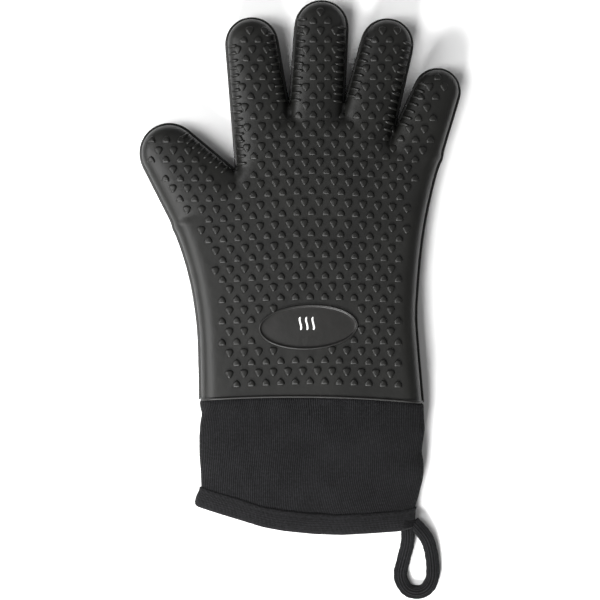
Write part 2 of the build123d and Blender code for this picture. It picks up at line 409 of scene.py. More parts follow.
def wrist_arch(x):
    """How far the wrist edge is moved towards the fingers at x, in millimetres: its middle lies higher."""
    return 2.4 - 3.2 * ((x - 7.6) / 75) ** 2 - 0.013 * (x - 7.6)


def sink_wrist(bm):
    """Arches the wrist edge, and less and less of the palm up to 27 mm above it."""
    for vertex in bm.verts:
        x, y = vertex.co.x / MM, vertex.co.y / MM
        if y < -60:
            near = min((-60 - y) / 25, 1)
            vertex.co.y += near * near * wrist_arch(x) * MM


def hand_shape(name, inset, voxel, end_y):
    """The whole hand as one closed skin, inset from its silhouette, and open at the wrist at end_y."""
    half = HALF_THICK + RIM_WIDE - inset
    forms = [palm_plate(inset, WEB, half, (PALM_ROUNDING - inset) * 0.95)]
    forms += [finger_hull(finger, inset, half, FACE_FULLNESS) for finger in FINGER_FORMS]
    hand = from_bmesh(name, joined(forms), outward=False)
    with_modifiers(hand, ("REMESH", dict(mode="VOXEL", voxel_size=voxel)),
                   ("SMOOTH", dict(factor=0.5, iterations=7)))
    shape = joined([hand])
    for vertex in shape.verts:
        lump = noise.noise(vertex.co.xy.to_3d() / FACE_SLACK_SPAN)
        inner = min(abs(vertex.co.z - MID_Z) / HALF_THICK, 1)
        vertex.co.z -= math.copysign(FACE_SLACK, vertex.co.z - MID_Z) * inner ** 3 * (0.5 + 0.5 * lump)
    bmesh.ops.bisect_plane(shape, geom=shape.verts[:] + shape.edges[:] + shape.faces[:],
                           plane_co=(0, end_y, 0), plane_no=(0, -1, 0), clear_outer=True)
    sink_wrist(shape)
    shape.normal_update()
    return shape


body = hand_shape("hand_form", RIM_WIDE, VOXEL, WRIST_Y * MM)
surface = BVHTree.FromBMesh(body)


# The real skin is one piece.  It is parted here between its bends.
BEND_BEFORE = 9.0 * MM
joint_at = {joint["name"]: Vector(joint["pos_m"]) for joint in frame["joints"]}


def stations(name):
    """Distances along a finger from its root centre to its two cuts: before the root bend, and halfway
    between its bends."""
    start, _, along = finger_axis(name)
    root, middle = ((joint_at[name + bend] - start).dot(along) for bend in ("_root_bend", "_middle_bend"))
    return root - BEND_BEFORE, (root + middle) / 2


def finger_place(name, point):
    """Where a point lies on a finger: along it, across it to the right, and across as a share of its width."""
    start, length, along = finger_axis(name)
    away = point - start
    forward = away.dot(along)
    sideways = away.x * along.y - away.y * along.x
    share = min(max(forward / length, 0), 1)
    return forward, sideways, abs(sideways) / (radius_at(name, share) * MM)


def region_of(point):
    """The part of the hand that a point belongs to."""
    best = ("palm", 1.12)
    for name in FINGER_FORMS:
        first, second = stations(name)
        forward, _, share = finger_place(name, point)
        if forward > first and share < best[1]:
            best = (name + ("_tip" if forward > second else "_base"), share)
    return best[0]


def cut_at_bends(bm):
    """Cuts a mesh across every finger at the two places where its parts meet."""
    for name in FINGER_FORMS:
        origin, _, along = finger_axis(name)
        for station in stations(name):
            near = []
            for face in bm.faces:
                middle = face.calc_center_median()
                if abs((middle - origin).dot(along) - station) > 4 * MM:
                    continue
                reach = [finger_place(name, vertex.co) for vertex in face.verts]
                ahead = [forward for forward, _, _ in reach]
                spans = min(ahead) < station + 1e-6 and max(ahead) > station - 1e-6
                inside = min(share for _, _, share in reach) < 1.1
                if spans and inside and region_of(middle + along * 2.5 * MM) != "palm":
                    near.append(face)
            parts = set(near) | {edge for face in near for edge in face.edges} | {
                vertex for face in near for vertex in face.verts}
            bmesh.ops.bisect_plane(bm, geom=list(parts), dist=1e-7,
                                   plane_co=origin + along * station, plane_no=along)


def parts_by_region(name, bm, cap):
    """Splits a mesh into one object for each part of the hand."""
    cut_at_bends(bm)
    bm.faces.ensure_lookup_table()
    regions = [region_of(face.calc_center_median()) for face in bm.faces]
    pieces = {}
    for region in sorted(set(regions)):
        part = bm.copy()
        part.faces.ensure_lookup_table()
        spare = [face for face, found in zip(part.faces, regions) if found != region]
        bmesh.ops.delete(part, geom=spare, context="FACES")
        if cap:
            bmesh.ops.holes_fill(part, edges=[edge for edge in part.edges if edge.is_boundary])
        pieces[region] = from_bmesh(region + name, part, outward=cap)
    bm.free()
    return pieces


skins = parts_by_region("_skin", body.copy(), False)
for piece in skins.values():
    solid(piece, SKIN_THICK)
    piece.data.set_sharp_from_angle(angle=math.radians(55))


def moulded_silicone(name, smoothest, roughest, grain_depth, dark, light):
    """Heat cured silicone rubber from a matt mould: deep black brown with a soft, slightly uneven sheen."""
    material = new_material(name)
    place = add(material, "TexCoord").outputs["Object"]
    cloudy = add(material, "TexNoise", {"Scale": 38.0, "Detail": 4.0, "Roughness": 0.55}, {"Vector": place})
    tone = add(material, "ValToRGB", links={"Fac": cloudy.outputs[0]})
    tone.color_ramp.elements[0].position, tone.color_ramp.elements[1].position = 0.3, 0.75
    tone.color_ramp.elements[0].color = linear(dark)
    tone.color_ramp.elements[1].color = linear(light)
    rough = add(material, "MapRange", {"To Min": smoothest, "To Max": roughest}, {"Value": cloudy.outputs[0]})
    grain = add(material, "TexNoise", {"Scale": 1400.0, "Detail": 3.0}, {"Vector": place})
    ripple = add(material, "TexNoise", {"Scale": 160.0, "Detail": 2.0}, {"Vector": place})
    fine = add(material, "Bump", {"Strength": grain_depth, "Distance": 0.08 * MM}, {"Height": grain.outputs[0]})
    coarse = add(material, "Bump", {"Strength": 0.35, "Distance": 0.5 * MM},
                 {"Height": ripple.outputs[0], "Normal": fine.outputs["Normal"]})
    shader = add(material, "BsdfPrincipled", {"IOR": 1.38},
                 {"Base Color": tone.outputs["Color"], "Roughness": rough.outputs[0],
                  "Normal": coarse.outputs["Normal"]})
    return finish_material(material, shader)


silicone = moulded_silicone("moulded_silicone", 0.38, 0.5, 0.25, "#10100f", "#161614")


def ride_or_blend(piece, region):
    """Puts a piece of the palm on the palm's body; any other piece only has its transform baked into its mesh."""
    if region == "palm":
        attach(piece, "palm")
        return
    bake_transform(piece)


def finish_part(piece, region, material):
    """Gives a part of the hand its material, and puts it on the palm's body if it is a palm part; other parts
    stay where they are.
    """
    piece.data.materials.clear()
    piece.data.materials.append(material)
    ride_or_blend(piece, region)


for region, skin in skins.items():
    finish_part(skin, region, silicone)
    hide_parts(region + "_shell")


# ----------------------------------------
# Parting rim, moulded in one with the hand: the flash line where the halves of the mould met, a thin
# ledge of silicone all round the hand that also closes the webs between the fingers.
RIM_HALF_THICK = 0.8 * MM
LEDGE = 1.7 * MM
RIM_ROOT = 2.5 * MM
CROTCHES = [(-43.9, 65.0), (-7.1, 108.3), (29.0, 108.8), (61.0, 89.2)]


def trace_line(members):
    """Vertices in order along the edges that join them, from the lowest one."""
    first = min(members, key=lambda vertex: (vertex.co.y, vertex.co.x))
    found, seen = [first], {first}
    while True:
        following = [edge.other_vert(found[-1]) for edge in found[-1].link_edges
                     if edge.other_vert(found[-1]) in members and edge.other_vert(found[-1]) not in seen]
        if not following:
            return [vertex.co.copy() for vertex in found]
        found.append(following[0])
        seen.add(following[0])


def relaxed(points, times, closed):
    """The same line of points with its small jags smoothed away."""
    for _ in range(times):
        around = [points[-1], *points, points[0]] if closed else [points[0], *points, points[-1]]
        points = [(a + 2 * b + c) / 4 for a, b, c in zip(around, around[1:], around[2:])]
    return points


slice_bm = body.copy()
found = bmesh.ops.bisect_plane(slice_bm, geom=slice_bm.verts[:] + slice_bm.edges[:] + slice_bm.faces[:],
                               plane_co=(0, 0, MID_Z), plane_no=(0, 0, 1))["geom_cut"]
line = trace_line({item for item in found if isinstance(item, bmesh.types.BMVert)})
slice_bm.free()
line = relaxed(line, 6, False)
line = [line[0] - Vector((0, 1.0, 0)) * MM, *line, line[-1] - Vector((0, 1.0, 0)) * MM]
turning = sum(a.x * b.y - b.x * a.y for a, b in zip(line, line[1:] + line[:1]))
if turning < 0:
    line.reverse()
rim_bm = bmesh.new()
rings = []
for number, point in enumerate(line):
    ahead = (line[min(number + 1, len(line) - 1)] - line[max(number - 1, 0)]).normalized()
    out = Vector((ahead.y, -ahead.x, 0))
    edge = point + out * LEDGE
    for x, y in CROTCHES:
        near = math.exp(-((point.x / MM - x) / 5.5) ** 4)
        if y - 14 < point.y / MM < y + 3 and edge.y < y * MM:
            edge.y += (y * MM - edge.y) * near
    ring = ring_of(rim_bm, 8)
    inner, tall = point - out * RIM_ROOT, RIM_HALF_THICK
    reach = [(0, tall), (0.5, tall), (0.9, tall * 0.9), (1, tall * 0.4), (1, -tall * 0.4), (0.9, -tall * 0.9),
             (0.5, -tall), (0, -tall)]
    for vertex, (share, lift) in zip(ring, reach):
        vertex.co = inner.lerp(edge, share) + Vector((0, 0, lift))
    rings.append(ring)
join_rings(rim_bm, rings)
for ring in (rings[0], rings[-1]):
    bmesh.ops.contextual_create(rim_bm, geom=ring)
bmesh.ops.recalc_face_normals(rim_bm, faces=rim_bm.faces)
for region, piece in parts_by_region("_rim", rim_bm, True).items():
    finish_part(piece, region, silicone)


# ----------------------------------------
# Wrist bead, moulded in one with the hand: a round lip of silicone along the wrist edge, which stops
# the edge from tearing.
BEAD_RADIUS = 0.95 * MM
BEAD_LIFT = 0.5 * MM
lip = trace_line({vertex for vertex in body.verts if vertex.is_boundary})
lip = relaxed(lip, 4, True)[::2]
bead_bm = bmesh.new()
rings = []
for before, point, after in zip([lip[-1]] + lip[:-1], lip, lip[1:] + lip[:1]):
    ahead = (after - before).normalized()
    side = ahead.cross(Vector((0, 1, 0))).normalized()
    place = frame_at(point + Vector((0, BEAD_LIFT, 0)), side, ahead.cross(side), ahead)
    rings.append(ring_of(bead_bm, 10, BEAD_RADIUS, matrix=place))
join_rings(bead_bm, rings + rings[:1])
wrist_bead = from_bmesh("wrist_bead", bead_bm)
body.free()
wrist_bead.data.materials.append(silicone)
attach(wrist_bead, "palm")


# ----------------------------------------
# Grip pips, moulded in one with the hand: low rounded triangles in level rows, one row with its
# points down and the next with its points up.  They cover both faces, clear of the smooth edges.
PIP_WIDE = 5.0 * MM
PIP_TALL = 5.8 * MM
PIP_HIGH = 1.3 * MM
PIP_PITCH = 9.75
ROW_TOP = 170.5
ROW_PITCH_FINGERS = 12.46
ROW_PITCH_PALM = 14.06
FINGER_ROWS = 9
LAST_ROW = 18
COLUMN_START = -15.7
FIRST_COLUMN, LAST_COLUMN = -9, 15
MIDDLE_X = 11
FACE_SHRINK = 1.011
BADGE_CLEAR = 2.0
BARE_TIP = 6.3
BARE_THUMB = 9.6
BARE_LITTLE = 11.0
BARE_WRIST = 9.0
BARE_LEFT, BARE_RIGHT = 16.0, 11.5
BARE_CROTCH = (-41, 64.5, 11)
OUTSIDE = -99.0
ARCH = [(2.8, -100.0), (2.5, -12.0), (4.2, 12.0), (5.0, 48.0), (4.6, 85.0), (0.0, 118.0), (0.0, 190.0)]


def drop_on(tree, x, y, side=1):
    """Where a line from above or below (x, y) first meets a surface, and the normal there."""
    return tree.ray_cast(Vector((x, y, MID_Z + side * 0.1)), Vector((0, 0, -side)))[:2]


def pip_form(name, wide, tall, high, taper, flat):
    """A low pip with a rounded shoulder, narrowing by taper towards -Y and cut off flat beyond flat."""
    bm = bmesh.new()
    made = ring_of(bm, 14, cap_ends=True)
    for vertex in made:
        vertex.co.x *= 1 + taper * vertex.co.y
        vertex.co.y = max(vertex.co.y, flat)
    face = bm.faces[:][0]
    for scale, lift in ((0.96, 0.82), (0.84, 0.34), (0.6, 0.12)):
        face = bmesh.ops.extrude_discrete_faces(bm, faces=[face])["faces"][0]
        bmesh.ops.scale(bm, verts=face.verts, vec=(scale, scale, 1))
        bmesh.ops.translate(bm, verts=face.verts, vec=(0, 0, lift))
    bmesh.ops.poke(bm, faces=[face], offset=0.04)
    bmesh.ops.transform(bm, verts=bm.verts, matrix=Matrix.Translation((0, 0, -0.3 * high))
                        @ Matrix.Diagonal((wide / 2, tall / 2, high, 1)))
    bmesh.ops.recalc_face_normals(bm, faces=bm.faces)
    return mesh_of(name, bm)


def seat_on(x, y, side):
    """The frame on one face of the hand at (x, y): Z out of the skin, and Y towards the fingers."""
    hit, normal = drop_on(surface, x, y, side)
    if hit is None:
        return None
    across = Vector((0, 1, 0)).cross(normal).normalized()
    return frame_at(hit, across, normal.cross(across), normal)


def scatter(name, form, places):
    """Copies of one small form, joined in one mesh."""
    bm = bmesh.new()
    for place in places:
        form.transform(place)
        bm.from_mesh(form)
        form.transform(place.inverted())
    return from_bmesh(name, bm)


def side_at(line, y):
    """The x of one side of the palm at y, in millimetres."""
    points = sorted(line, key=lambda point: point[1])
    for (x0, y0), (x1, y1) in zip(points, points[1:]):
        if y0 <= y <= y1:
            return x0 + (x1 - x0) * (y - y0) / (y1 - y0)
    return points[-1][0] if y > points[-1][1] else points[0][0]


def edge_room(x, y):
    """How far inside the hand's smooth edges a point lies, in millimetres; below 0 it is outside."""
    point = Vector((x, y, 0)) * MM
    room = OUTSIDE
    for name in FINGER_FORMS:
        start, length, along = finger_axis(name)
        forward, sideways, _ = finger_place(name, point)
        share = min(max(forward / length, 0), 1)
        radius = radius_at(name, share)
        if forward > length:
            inside = radius - (point - start - along * length).length / MM
        else:
            inside = radius - abs(sideways) / MM
        need = BARE_TIP
        if forward < length and name == "thumb":
            need = BARE_THUMB
        elif forward < length and name == "little" and sideways > 0:
            need = BARE_LITTLE
        if name == "index" and sideways < 0:
            need += 2.8 * (1 - share)
        if forward > 0:
            room = max(room, inside - need)
    if y < 104 - 0.004 * (x - MIDDLE_X) ** 2:
        low_room = y - WRIST_Y - BARE_WRIST
        sides = min(x - side_at(LEFT_SIDE, y) - BARE_LEFT, side_at(RIGHT_SIDE, y) - x - BARE_RIGHT)
        room = max(room, min(low_room, sides if y < 50 or x > -40 else OUTSIDE))
    crotch_x, crotch_y, reach = BARE_CROTCH
    return min(room, math.hypot(x - crotch_x, y - crotch_y) - reach)


BADGE_AT = (5.6, -38.8)
BADGE_LONG = 65.5
BADGE_WIDE = 29.8
BADGE_TILT = math.radians(2.5)


def on_badge(x, y, clear):
    """Whether a point lies on the badge or nearer to it than clear, all in millimetres."""
    dx, dy = x - BADGE_AT[0], y - BADGE_AT[1]
    along = dx * math.cos(BADGE_TILT) + dy * math.sin(BADGE_TILT)
    across = dy * math.cos(BADGE_TILT) - dx * math.sin(BADGE_TILT)
    return (along / (BADGE_LONG / 2 + clear)) ** 2 + (across / (BADGE_WIDE / 2 + clear)) ** 2 < 1


pip_down = pip_form("pip_point_down", PIP_WIDE, PIP_TALL, PIP_HIGH, 0.42, -1.0)
pip_up = pip_form("pip_point_up", PIP_WIDE, PIP_TALL * 0.96, PIP_HIGH, -0.4, -0.66)
places = {}
for half_row in range(2 * LAST_ROW + 2):
    row = half_row / 2
    points_up = half_row % 2 == 1
    level = ROW_TOP - ROW_PITCH_FINGERS * min(row, FINGER_ROWS) - ROW_PITCH_PALM * max(row - FINGER_ROWS, 0)
    arch = side_at(ARCH, level)
    for column in range(FIRST_COLUMN, LAST_COLUMN + 1):
        x = COLUMN_START + PIP_PITCH * (column + (0.5 if points_up else 0))
        y = level - arch * min((abs(x - MIDDLE_X) / 63) ** 1.35, 1.06)
        x -= 2.0 * min(max((95 - y) / 115, 0), 1)
        if y > 95 and x < -8:
            x -= 0.127 * (y - 95)
        elif y > 85 and x > 66:
            x += 0.12 * (y - 85)
        elif y > 100 and x > 30:
            x += 0.04 * (y - 100)
        x, y = x / FACE_SHRINK, (y + 21) / FACE_SHRINK - 21
        if edge_room(x, y) < 0:
            continue
        for side in (1, -1):
            if side > 0 and on_badge(x, y, BADGE_CLEAR):
                continue
            place = seat_on(x * MM, y * MM, side)
            if place is not None:
                places.setdefault((region_of(place.translation), side, points_up), []).append(place)
for (region, side, points_up), found in places.items():
    name = "_".join((region, "pips", "up" if points_up else "down", "front" if side > 0 else "back"))
    finish_part(scatter(name, pip_up if points_up else pip_down, found), region, silicone)


# ----------------------------------------
# Side ribs, moulded in one with the hand: short bars across the shoulders of the fingers, like a
# ladder, on the sides that face another finger.  They let the skin stretch as a finger bends.
RIB_WIDE = 2.3 * MM
RIB_HIGH = 1.7 * MM
RIB_PITCH = 4.85 * MM
RIB_STEPS = [(1.8, 0.35), (2.6, 0.9), (4.0, 1.0), (5.6, 1.0), (6.9, 0.85), (7.8, 0.35)]
RIB_SIDES = {("thumb", 1): 11.75, ("index", -1): 2, ("index", 1): 40, ("middle", -1): 30, ("middle", 1): 31,
             ("ring", -1): 32, ("ring", 1): 16, ("little", -1): 28}


def rib_rings(bm, start, across, along, side):
    """One rib as a chain of rings laid over the finger's shoulder, or nothing where there is no skin."""
    places = []
    for inset, full in RIB_STEPS:
        point = start + across * inset * MM
        hit, normal = drop_on(surface, point.x, point.y, side)
        if hit is None or abs(hit.z - MID_Z) < 2.0 * MM:
            return []
        up = (normal - along * normal.dot(along)).normalized()
        place = frame_at(hit, along * RIB_WIDE / 2 * full, up * RIB_HIGH * full, along.cross(up))
        places.append(place @ Matrix.Rotation(math.radians(22.5), 4, "Z"))
    return [ring_of(bm, 8, matrix=place, cap_ends=number in (0, len(places) - 1))
            for number, place in enumerate(places)]


rib_meshes = {}
for (name, hand_side), start in RIB_SIDES.items():
    root, length, along = finger_axis(name)
    right = Vector((along.y, -along.x, 0))
    station = start * MM
    while station < length + 3 * MM:
        radius = radius_at(name, min(station / length, 1)) * MM
        edge = root + along * station + right * hand_side * radius
        for side in (1, -1):
            bm = rib_meshes.setdefault(region_of(edge - right * hand_side * 5 * MM), bmesh.new())
            join_rings(bm, rib_rings(bm, edge, right * -hand_side, along, side))
        station += RIB_PITCH
for region, bm in rib_meshes.items():
    finish_part(from_bmesh(region + "_ribs", bm), region, silicone)


# ----------------------------------------
# Hand liner: soft knitted cotton cut and sewn to the hand's shape, bonded in under the silicone.  It
# shows only through the cuff.
LINER_THICK = 1.3 * MM
LINER_INSET = 4.4 * MM
liners = parts_by_region("_lining", hand_shape("liner_form", LINER_INSET, 2.4 * MM, -75.5 * MM), False)
knitted = woven("knitted_cotton", "#3a3a3c", "#6b6a68", 1.6, 1.1, 0.3, 0.95)
for region, piece in liners.items():
    solid(piece, LINER_THICK)
    bm = bmesh.new()
    bm.from_mesh(piece.data)
    cloth_uv = bm.loops.layers.uv.new("cloth")
    for face in bm.faces:
        for corner in face.loops:
            corner[cloth_uv].uv = corner.vert.co.xy
    bm.to_mesh(piece.data)
    bm.free()
    finish_part(piece, region, knitted)
    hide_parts(region + "_liner")


# ----------------------------------------
# Badge, moulded in one with the hand: an oval of smoother silicone on the palm, with a thin raised rim
# round a slightly domed field.
BADGE_PROFILE = [(-0.5, -1.2), (-0.12, -0.1), (0.05, 0.8), (0.3, 1.2), (0.7, 1.3), (1.1, 1.15), (1.35, 0.6),
                 (1.6, 0.2), (2.1, 0.12)]
BADGE_AROUND = 120
BADGE_FIELD = [(0.92, 0.16), (0.75, 0.3), (0.5, 0.42), (0.25, 0.46)]
bm = bmesh.new()
rings = []
badge_rings = [(*pair, 1.0) for pair in BADGE_PROFILE]
badge_rings += [(BADGE_PROFILE[-1][0], lift, part) for part, lift in BADGE_FIELD]
for inward, lift, share in badge_rings:
    ring = ring_of(bm, BADGE_AROUND)
    for vertex in ring:
        x, y = vertex.co.x, vertex.co.y
        out = Vector((x / BADGE_LONG, y / BADGE_WIDE)).normalized()
        x, y = x * BADGE_LONG / 2 - out.x * inward, y * BADGE_WIDE / 2 - out.y * inward
        x, y = x * share, y * share
        place = (BADGE_AT[0] + x * math.cos(BADGE_TILT) - y * math.sin(BADGE_TILT),
                 BADGE_AT[1] + x * math.sin(BADGE_TILT) + y * math.cos(BADGE_TILT))
        vertex.co = drop_on(surface, place[0] * MM, place[1] * MM)[0] + Vector((0, 0, lift * MM))
    rings.append(ring)
join_rings(bm, rings)
centre_face = bmesh.ops.contextual_create(bm, geom=rings[-1])["faces"]
bmesh.ops.poke(bm, faces=centre_face)
bmesh.ops.contextual_create(bm, geom=rings[0])
badge = from_bmesh("oval_badge", bm)


def tree_of(piece):
    """A finished piece's surface, for finding places on it."""
    return BVHTree.FromPolygons([vertex.co for vertex in piece.data.vertices],
                                [face.vertices for face in piece.data.polygons])


badge_surface = tree_of(badge)
# The badge's silicone is a little smoother than the hand's, and its colours are painted lighter as a painted
# reflection of its glossier field.
polished = moulded_silicone("polished_silicone_painted_sheen", 0.34, 0.42, 0.3, "#191918", "#201f1e")
badge.data.materials.append(polished)
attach(badge, "palm")
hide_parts("emblem_badge")


# ----------------------------------------
# Heat mark: three plain rising waves of white silicone ink.  They are screen printed on the badge as
# a thin film.
WAVE = [(0, -4.4), (0.95, -2.1), (-0.95, 2.1), (0, 4.4)]
WAVE_SWING = 1.9
WAVE_PITCH = 4.2
WAVE_LINE = 0.62
WAVE_STEPS = 24
MARK_AT = (BADGE_AT[0] - 1.0, BADGE_AT[1] + 2.4)
INK_LIFT = 0.05 * MM
INK_THICK = 0.09 * MM
bm = bmesh.new()
for column in (-1, 0, 1):
    strip = bmesh.ops.create_grid(bm, x_segments=1, y_segments=WAVE_STEPS, size=1.0)["verts"]
    for vertex in strip:
        side, share = vertex.co.x, min(max((vertex.co.y + 1) / 2, 0.0), 1.0)
        weights = ((1 - share) ** 3, 3 * share * (1 - share) ** 2, 3 * share ** 2 * (1 - share), share ** 3)
        x = sum(w * p[0] for w, p in zip(weights, WAVE)) * WAVE_SWING + column * WAVE_PITCH
        y = sum(w * p[1] for w, p in zip(weights, WAVE))
        thin = WAVE_LINE * (1 - (2 * share - 1) ** 6) ** 0.5 + 0.02
        x, y = (MARK_AT[0] + x + side * thin) * MM, (MARK_AT[1] + y) * MM
        vertex.co = drop_on(badge_surface, x, y)[0] + Vector((0, 0, INK_LIFT))
bmesh.ops.recalc_face_normals(bm, faces=bm.faces)
bmesh.ops.solidify(bm, geom=bm.faces[:], thickness=INK_THICK)
heat_mark = from_bmesh("heat_mark", bm)
heat_mark.data.materials.append(plain("white_screen_ink", "#e9eae8", 0.5))
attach(heat_mark, "palm")
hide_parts("printed_mark")


# ----------------------------------------
# Cuff: a sleeve of black cotton canvas, its two panels seamed at the sides.  It is tucked and bonded
# inside the silicone at the wrist and lies flatter towards its slanting hem.
CUFF_LEFT = [(-69.6, -170.0), (-69.4, -158.0), (-67.8, -151.0), (-65.9, -147.0), (-66.3, -136.0), (-67.1, -125.0),
             (-67.2, -112.0), (-66.4, -102.0), (-65.1, -96.5), (-66.6, -92.5), (-66.6, -86.4), (-62.5, -85.8),
             (-62.0, -70.0)]
CUFF_RIGHT = [(75.0, -180.0), (75.6, -172.0), (76.4, -161.0), (79.2, -152.0), (81.6, -143.0), (82.7, -136.0),
              (82.4, -128.0), (81.1, -122.5), (82.1, -114.5), (83.2, -107.0), (82.6, -99.0), (82.4, -93.0),
              (82.2, -88.4), (77.8, -87.8), (77.3, -70.0)]
CUFF_HEM = [(-80.0, -153.5), (-70.1, -157.9), (-56.9, -162.0), (-39.7, -167.1), (-24.8, -171.7), (-11.1, -174.2),
            (9.5, -176.3), (29.0, -176.9), (46.2, -175.9), (66.8, -174.6), (76.0, -172.6), (90.0, -169.0)]
TUCKED = 7.5
STRAIGHT = 12.0
CUFF_DEPTH = 90.0
CUFF_AROUND = 168
CUFF_HALF_WIDE, CUFF_HALF_TALL = 74, 8
GIRTH_STEPS = 4000
CANVAS_THICK = 1.0 * MM


def along_line(line, x):
    """The y of a line of points at x, with soft corners."""
    value, weight = 0.0, 0.0
    for step in (-3, -1.5, 0, 1.5, 3):
        for (x0, y0), (x1, y1) in zip(line, line[1:]):
            if x0 <= x + step <= x1:
                value += y0 + (y1 - y0) * (x + step - x0) / (x1 - x0)
                weight += 1
                break
    return value / weight


def cuff_y(x, depth):
    """The y of the cuff at x, depth millimetres of cloth below its tucked edge."""
    start = WRIST_Y + 1.21 * wrist_arch(x) + TUCKED
    if depth <= STRAIGHT:
        return start - depth
    share = (depth - STRAIGHT) / (CUFF_DEPTH - STRAIGHT)
    return (start - STRAIGHT) * (1 - share) + along_line(CUFF_HEM, x) * share


def cuff_x_at(line, x, depth):
    """The x of one side at a depth, with soft corners."""
    y = cuff_y(x, depth)
    return sum(side_at(line, y + step) for step in (-2, -1, 0, 1, 2)) / 5


def superellipse(angle, shape):
    """A point of a rounded oblong of unit size; a shape of 2 is a circle, and higher is squarer."""
    cosine, sine = math.cos(angle), math.sin(angle)
    return (math.copysign(abs(cosine) ** (2 / shape), cosine), math.copysign(abs(sine) ** (2 / shape), sine))


# The cuff's girth is measured out in even steps, so that the cloth is neither stretched nor crowded.
even_turns = [0.0]
for step in range(1, GIRTH_STEPS + 1):
    (x0, z0), (x1, z1) = (superellipse(2 * math.pi * (step - back) / GIRTH_STEPS, 2.75) for back in (1, 0))
    even_turns.append(even_turns[-1] + math.hypot((x1 - x0) * CUFF_HALF_WIDE, (z1 - z0) * CUFF_HALF_TALL))
even_turns = [run / even_turns[-1] for run in even_turns]


def cuff_point(turn, depth, out):
    """A point of the cuff: turn of 1 goes once round from the right side, out is mm off the canvas."""
    turn %= 1.0
    step = min(bisect.bisect_right(even_turns, turn), GIRTH_STEPS)
    low, high = even_turns[step - 1], even_turns[step]
    angle = 2 * math.pi * (step - 1 + (turn - low) / max(high - low, 1e-12)) / GIRTH_STEPS
    flat = min(max((depth - 6) / (CUFF_DEPTH - 6), 0), 1)
    shape = 3.0 - 0.5 * flat
    across, up = superellipse(angle, shape)
    left, right = cuff_x_at(CUFF_LEFT, -67.0, depth), cuff_x_at(CUFF_RIGHT, 80.0, depth)
    x = (left + right) / 2 + across * ((right - left) / 2 + out)
    y = cuff_y(min(max(x, -78), 88), depth)
    puff = min(max((depth - 7.0) / 3.0, 0), 1)
    tall = (9.3 + 1.1 * puff) * (1 - flat) + 5.0 * flat
    middle = 13.0 * (1 - flat) + 5.9 * flat
    loose = min(max((depth - 9) / 22, 0), 1) * (1 - 0.6 * flat)
    wave = 1.1 * noise.noise(Vector((x / 26, y / 34, 4 * math.sin(angle)))) * loose
    gather = 0.32 * math.sin(x / 2.6 + 2 * noise.noise(Vector((x / 15, 0, 0))))
    gather *= math.exp(-((depth - 12) / 9) ** 2)
    return Vector((x, y, middle + up * (tall + out + wave + gather * puff))) * MM


def cuff_sleeve(name, depths, out, around, thick):
    """A sleeve of cloth that follows the cuff, out mm off the canvas, with its cloth coordinates."""
    bm = bmesh.new()
    cloth_uv = bm.loops.layers.uv.new("cloth")
    rings, runs = [], []
    for depth in depths:
        ring = ring_of(bm, around)
        run = [0.0]
        for step, vertex in enumerate(ring):
            vertex.co = cuff_point(step / around, depth, out)
        for step, vertex in enumerate(ring):
            run.append(run[-1] + (ring[(step + 1) % around].co - vertex.co).length)
        rings.append(ring)
        runs.append(run)
    girth = runs[len(runs) // 2]
    lay_cloth(join_rings(bm, rings), rings, cloth_uv, lambda number, step, vertex: (girth[step], vertex.co.y))
    middle = sum((vertex.co for vertex in rings[0]), Vector()) / around
    bmesh.ops.recalc_face_normals(bm, faces=bm.faces)
    bm.faces.ensure_lookup_table()
    test = bm.faces[0]
    if (test.calc_center_median() - middle).xz.dot(test.normal.xz) < 0:
        bmesh.ops.reverse_faces(bm, faces=bm.faces)
    return solid(from_bmesh(name, bm, outward=False), thick)


cuff_depths = [0, 3, 5.5, 7, 7.8, 8.5, 9.3, 10.2, 11.2, 12.4]
cuff_depths += [14 + 2.0 * step for step in range(38)] + [CUFF_DEPTH]
canvas_sleeve = cuff_sleeve("canvas_sleeve", cuff_depths, 0.0, CUFF_AROUND, CANVAS_THICK)
canvas = woven("cotton_canvas", "#010101", "#242426", 1.25, 0.9, 0.24, 0.9)
canvas_sleeve.data.materials.append(canvas)


def across_fold(piece):
    """Bakes the transform of a piece of the cuff into its mesh; it is not bent."""
    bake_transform(piece)


across_fold(canvas_sleeve)
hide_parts("cuff_front_panel", "cuff_back_panel", "cuff_collar")


# ----------------------------------------
# Cuff lining: a sleeve of thin plain cotton inside the canvas.  It is caught under the binding at the
# hem and glued in with the canvas at the wrist.
LINING_IN = 1.15
LINING_AROUND = 96
LINING_THICK = 0.6 * MM
lining_depths = cuff_depths[::2] + [CUFF_DEPTH]
lining_sleeve = cuff_sleeve("lining_sleeve", lining_depths, -LINING_IN, LINING_AROUND, LINING_THICK)
lining_sleeve.data.materials.append(woven("plain_lining", "#202022", "#3c3c40", 0.6, 0.6, 0.08, 0.9))
across_fold(lining_sleeve)
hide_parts("cuff_lining")


# ----------------------------------------
# Hem binding: a folded strip of black cotton tape, 13 mm deep, wrapped over the raw hem and topstitched
# near its upper edge.
BINDING = [(12.9, 0.03), (13.0, 0.45), (12.7, 0.85), (11.9, 1.08), (10.9, 0.98), (10.2, 0.84), (9.4, 1.02),
           (7.0, 1.2), (4.0, 1.3), (1.8, 1.25), (0.3, 1.0), (-0.6, 0.45), (-1.0, -0.8), (-0.6, -2.0),
           (0.4, -2.7), (3.0, -2.8), (7.0, -2.7), (11.6, -2.6), (12.8, -2.3), (12.9, -1.8), (6.0, -1.8),
           (0.8, -1.8), (0.3, -1.4), (0.2, -0.9), (0.3, -0.4), (0.8, 0.02), (6.0, 0.03)]
HEM_AROUND = 240


def hem_point(turn, above, out):
    """A point above the hem's edge by so many millimetres, out mm off the canvas."""
    x = cuff_point(turn, CUFF_DEPTH, 0).x / MM
    full = cuff_y(x, STRAIGHT) - cuff_y(x, CUFF_DEPTH)
    if above >= 0:
        return cuff_point(turn, CUFF_DEPTH - above * (CUFF_DEPTH - STRAIGHT) / full, out)
    return cuff_point(turn, CUFF_DEPTH, out) + Vector((0, above * MM, 0))


